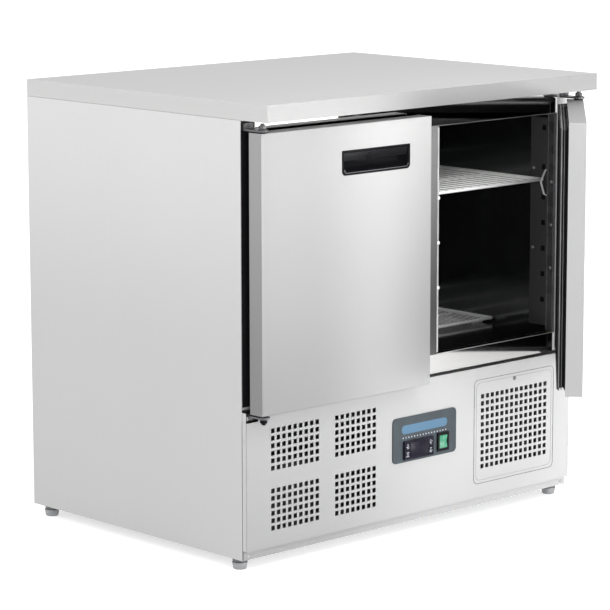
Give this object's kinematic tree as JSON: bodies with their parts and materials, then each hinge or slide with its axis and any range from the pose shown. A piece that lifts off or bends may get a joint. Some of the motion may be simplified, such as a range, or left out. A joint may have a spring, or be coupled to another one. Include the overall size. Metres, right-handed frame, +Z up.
{
  "type": "undercounter refrigerated cabinet",
  "caption": "Low two-door refrigerated work counter in stainless steel with a flat worktop, black recessed pulls, wire shelves and a perforated base panel.",
  "frame": {"origin": "centre of the bounding box at floor level, right door standing open 42 degrees as stored", "axes": "+X to the cabinet's right as seen from the front, +Y towards the back, +Z up; the doors face -Y"},
  "size_m": [0.9, 0.9616, 0.88],
  "materials": {
    "back_panel": "satin brushed stainless sheet",
    "base_front_panel": "satin brushed stainless sheet",
    "base_toe_strip": "satin brushed stainless sheet",
    "base_tray": "galvanised sheet",
    "bottom_sill": "satin brushed stainless sheet",
    "cable_gland": "black plastic",
    "center_mullion": "satin brushed stainless sheet",
    "compressor": "satin black enamel",
    "condenser_coil": "finned aluminium",
    "condenser_fan": "black moulded plastic",
    "condenser_fan_frame": "black painted steel",
    "control_plate": "slate blue-grey satin plastic",
    "controller_body": "near-black gloss plastic",
    "controller_key_1": "near-black gloss plastic",
    "controller_key_2": "near-black gloss plastic",
    "controller_key_3": "near-black gloss plastic",
    "controller_key_4": "near-black gloss plastic",
    "door_left_foam": null,
    "door_left_gasket": "black magnetic seal",
    "door_left_handle": "black moulded plastic",
    "door_left_inner_panel": "bright smooth stainless sheet",
    "door_left_skin": "satin brushed stainless sheet",
    "door_right_foam": null,
    "door_right_gasket": "black magnetic seal",
    "door_right_handle": "black moulded plastic",
    "door_right_inner_panel": "bright smooth stainless sheet",
    "door_right_skin": "satin brushed stainless sheet",
    "evaporator_coil": "finned aluminium",
    "evaporator_cover": "bright smooth stainless sheet",
    "evaporator_fan": "black moulded plastic",
    "foot_front_left": "grey metal levelling foot",
    "foot_front_right": "grey metal levelling foot",
    "foot_rear_left": "grey metal levelling foot",
    "foot_rear_right": "grey metal levelling foot",
    "hinge_bracket_bottom_left": "zinc-plated steel",
    "hinge_bracket_bottom_right": "zinc-plated steel",
    "hinge_bracket_top_left": "zinc-plated steel",
    "hinge_bracket_top_right": "zinc-plated steel",
    "insulation_shell": null,
    "liner_back": "bright smooth stainless sheet",
    "liner_ceiling": "bright smooth stainless sheet",
    "liner_floor": "bright smooth stainless sheet",
    "liner_left": "bright smooth stainless sheet",
    "liner_right": "bright smooth stainless sheet",
    "pilaster_center_rear": "satin stainless strip",
    "pilaster_left_front": "satin stainless strip",
    "pilaster_left_rear": "satin stainless strip",
    "pilaster_right_front": "satin stainless strip",
    "pilaster_right_rear": "satin stainless strip",
    "shelf_left_lower": "pale coated steel wire",
    "shelf_left_upper": "pale coated steel wire",
    "shelf_right_lower": "pale coated steel wire",
    "shelf_right_upper": "pale coated steel wire",
    "side_panel_left": "satin brushed stainless sheet",
    "side_panel_right": "satin brushed stainless sheet",
    "switch_bezel": "black plastic",
    "switch_rocker": "translucent green plastic",
    "top_rail": "satin brushed stainless sheet",
    "vent_cover": "satin brushed stainless sheet",
    "worktop": "satin brushed stainless sheet"
  },
  "bodies": {
    "cabinet": {"back_panel": "back_panel", "base_front_panel": "base_front_panel", "base_toe_strip": "base_toe_strip", "base_tray": "base_tray", "bottom_sill": "bottom_sill", "cable_gland": "cable_gland", "center_mullion": "center_mullion", "compressor": "compressor", "condenser_coil": "condenser_coil", "condenser_fan_frame": "condenser_fan_frame", "control_plate": "control_plate", "controller_body": "controller_body", "evaporator_coil": "evaporator_coil", "evaporator_cover": "evaporator_cover", "hinge_bracket_bottom_left": "hinge_bracket_bottom_left", "hinge_bracket_bottom_right": "hinge_bracket_bottom_right", "hinge_bracket_top_left": "hinge_bracket_top_left", "hinge_bracket_top_right": "hinge_bracket_top_right", "insulation_shell": "insulation_shell", "liner_back": "liner_back", "liner_ceiling": "liner_ceiling", "liner_floor": "liner_floor", "liner_left": "liner_left", "liner_right": "liner_right", "pilaster_center_rear": "pilaster_center_rear", "pilaster_left_front": "pilaster_left_front", "pilaster_left_rear": "pilaster_left_rear", "pilaster_right_front": "pilaster_right_front", "pilaster_right_rear": "pilaster_right_rear", "shelf_left_lower": "shelf_left_lower", "shelf_left_upper": "shelf_left_upper", "shelf_right_lower": "shelf_right_lower", "shelf_right_upper": "shelf_right_upper", "side_panel_left": "side_panel_left", "side_panel_right": "side_panel_right", "switch_bezel": "switch_bezel", "top_rail": "top_rail", "vent_cover": "vent_cover", "worktop": "worktop"},
    "left_door": {"door_left_skin": "door_left_skin", "door_left_foam": "door_left_foam", "door_left_inner_panel": "door_left_inner_panel", "door_left_gasket": "door_left_gasket", "door_left_handle": "door_left_handle"},
    "right_door": {"door_right_skin": "door_right_skin", "door_right_foam": "door_right_foam", "door_right_inner_panel": "door_right_inner_panel", "door_right_gasket": "door_right_gasket", "door_right_handle": "door_right_handle"},
    "power_rocker": {"switch_rocker": "switch_rocker"},
    "condenser_fan": {"condenser_fan": "condenser_fan"},
    "evaporator_fan": {"evaporator_fan": "evaporator_fan"},
    "key_1": {"controller_key_1": "controller_key_1"},
    "key_2": {"controller_key_2": "controller_key_2"},
    "key_3": {"controller_key_3": "controller_key_3"},
    "key_4": {"controller_key_4": "controller_key_4"},
    "front_left_foot": {"foot_front_left": "foot_front_left"},
    "rear_left_foot": {"foot_rear_left": "foot_rear_left"},
    "front_right_foot": {"foot_front_right": "foot_front_right"},
    "rear_right_foot": {"foot_rear_right": "foot_rear_right"}
  },
  "joints": [
    {"name": "left_door_hinge", "type": "hinge", "parent": "cabinet", "child": "left_door", "pos_m": [-0.432, -0.18652, 0.56], "axis": [0, 0, 1], "range_deg": [-105, 0]},
    {"name": "right_door_hinge", "type": "hinge", "parent": "cabinet", "child": "right_door", "pos_m": [0.432, -0.18652, 0.56], "axis": [0, 0, 1], "range_deg": [-42, 63]},
    {"name": "power_rocker_tilt", "type": "hinge", "parent": "cabinet", "child": "power_rocker", "pos_m": [0.07075, -0.15702, 0.173], "axis": [1, 0, 0], "range_deg": [-8, 8]},
    {"name": "condenser_fan_spin", "type": "hinge", "parent": "cabinet", "child": "condenser_fan", "pos_m": [0.282, -0.04402, 0.1747], "axis": [0, 1, 0], "continuous": true},
    {"name": "evaporator_fan_spin", "type": "hinge", "parent": "cabinet", "child": "evaporator_fan", "pos_m": [-0.075, 0.37998, 0.7], "axis": [0, 1, 0], "continuous": true},
    {"name": "key_1_press", "type": "slide", "parent": "cabinet", "child": "key_1", "axis": [0, 1, 0], "range_m": [0, 0.0008], "stiffness_N_per_m": 400},
    {"name": "key_2_press", "type": "slide", "parent": "cabinet", "child": "key_2", "axis": [0, 1, 0], "range_m": [0, 0.0008], "stiffness_N_per_m": 400},
    {"name": "key_3_press", "type": "slide", "parent": "cabinet", "child": "key_3", "axis": [0, 1, 0], "range_m": [0, 0.0008], "stiffness_N_per_m": 400},
    {"name": "key_4_press", "type": "slide", "parent": "cabinet", "child": "key_4", "axis": [0, 1, 0], "range_m": [0, 0.0008], "stiffness_N_per_m": 400},
    {"name": "front_left_foot_turn", "type": "hinge", "parent": "cabinet", "child": "front_left_foot", "pos_m": [-0.432, -0.11902, 0.01], "axis": [0, 0, 1], "continuous": true},
    {"name": "rear_left_foot_turn", "type": "hinge", "parent": "cabinet", "child": "rear_left_foot", "pos_m": [-0.432, 0.44598, 0.01], "axis": [0, 0, 1], "continuous": true},
    {"name": "front_right_foot_turn", "type": "hinge", "parent": "cabinet", "child": "front_right_foot", "pos_m": [0.432, -0.11902, 0.01], "axis": [0, 0, 1], "continuous": true},
    {"name": "rear_right_foot_turn", "type": "hinge", "parent": "cabinet", "child": "rear_right_foot", "pos_m": [0.432, 0.44598, 0.01], "axis": [0, 0, 1], "continuous": true}
  ]
}
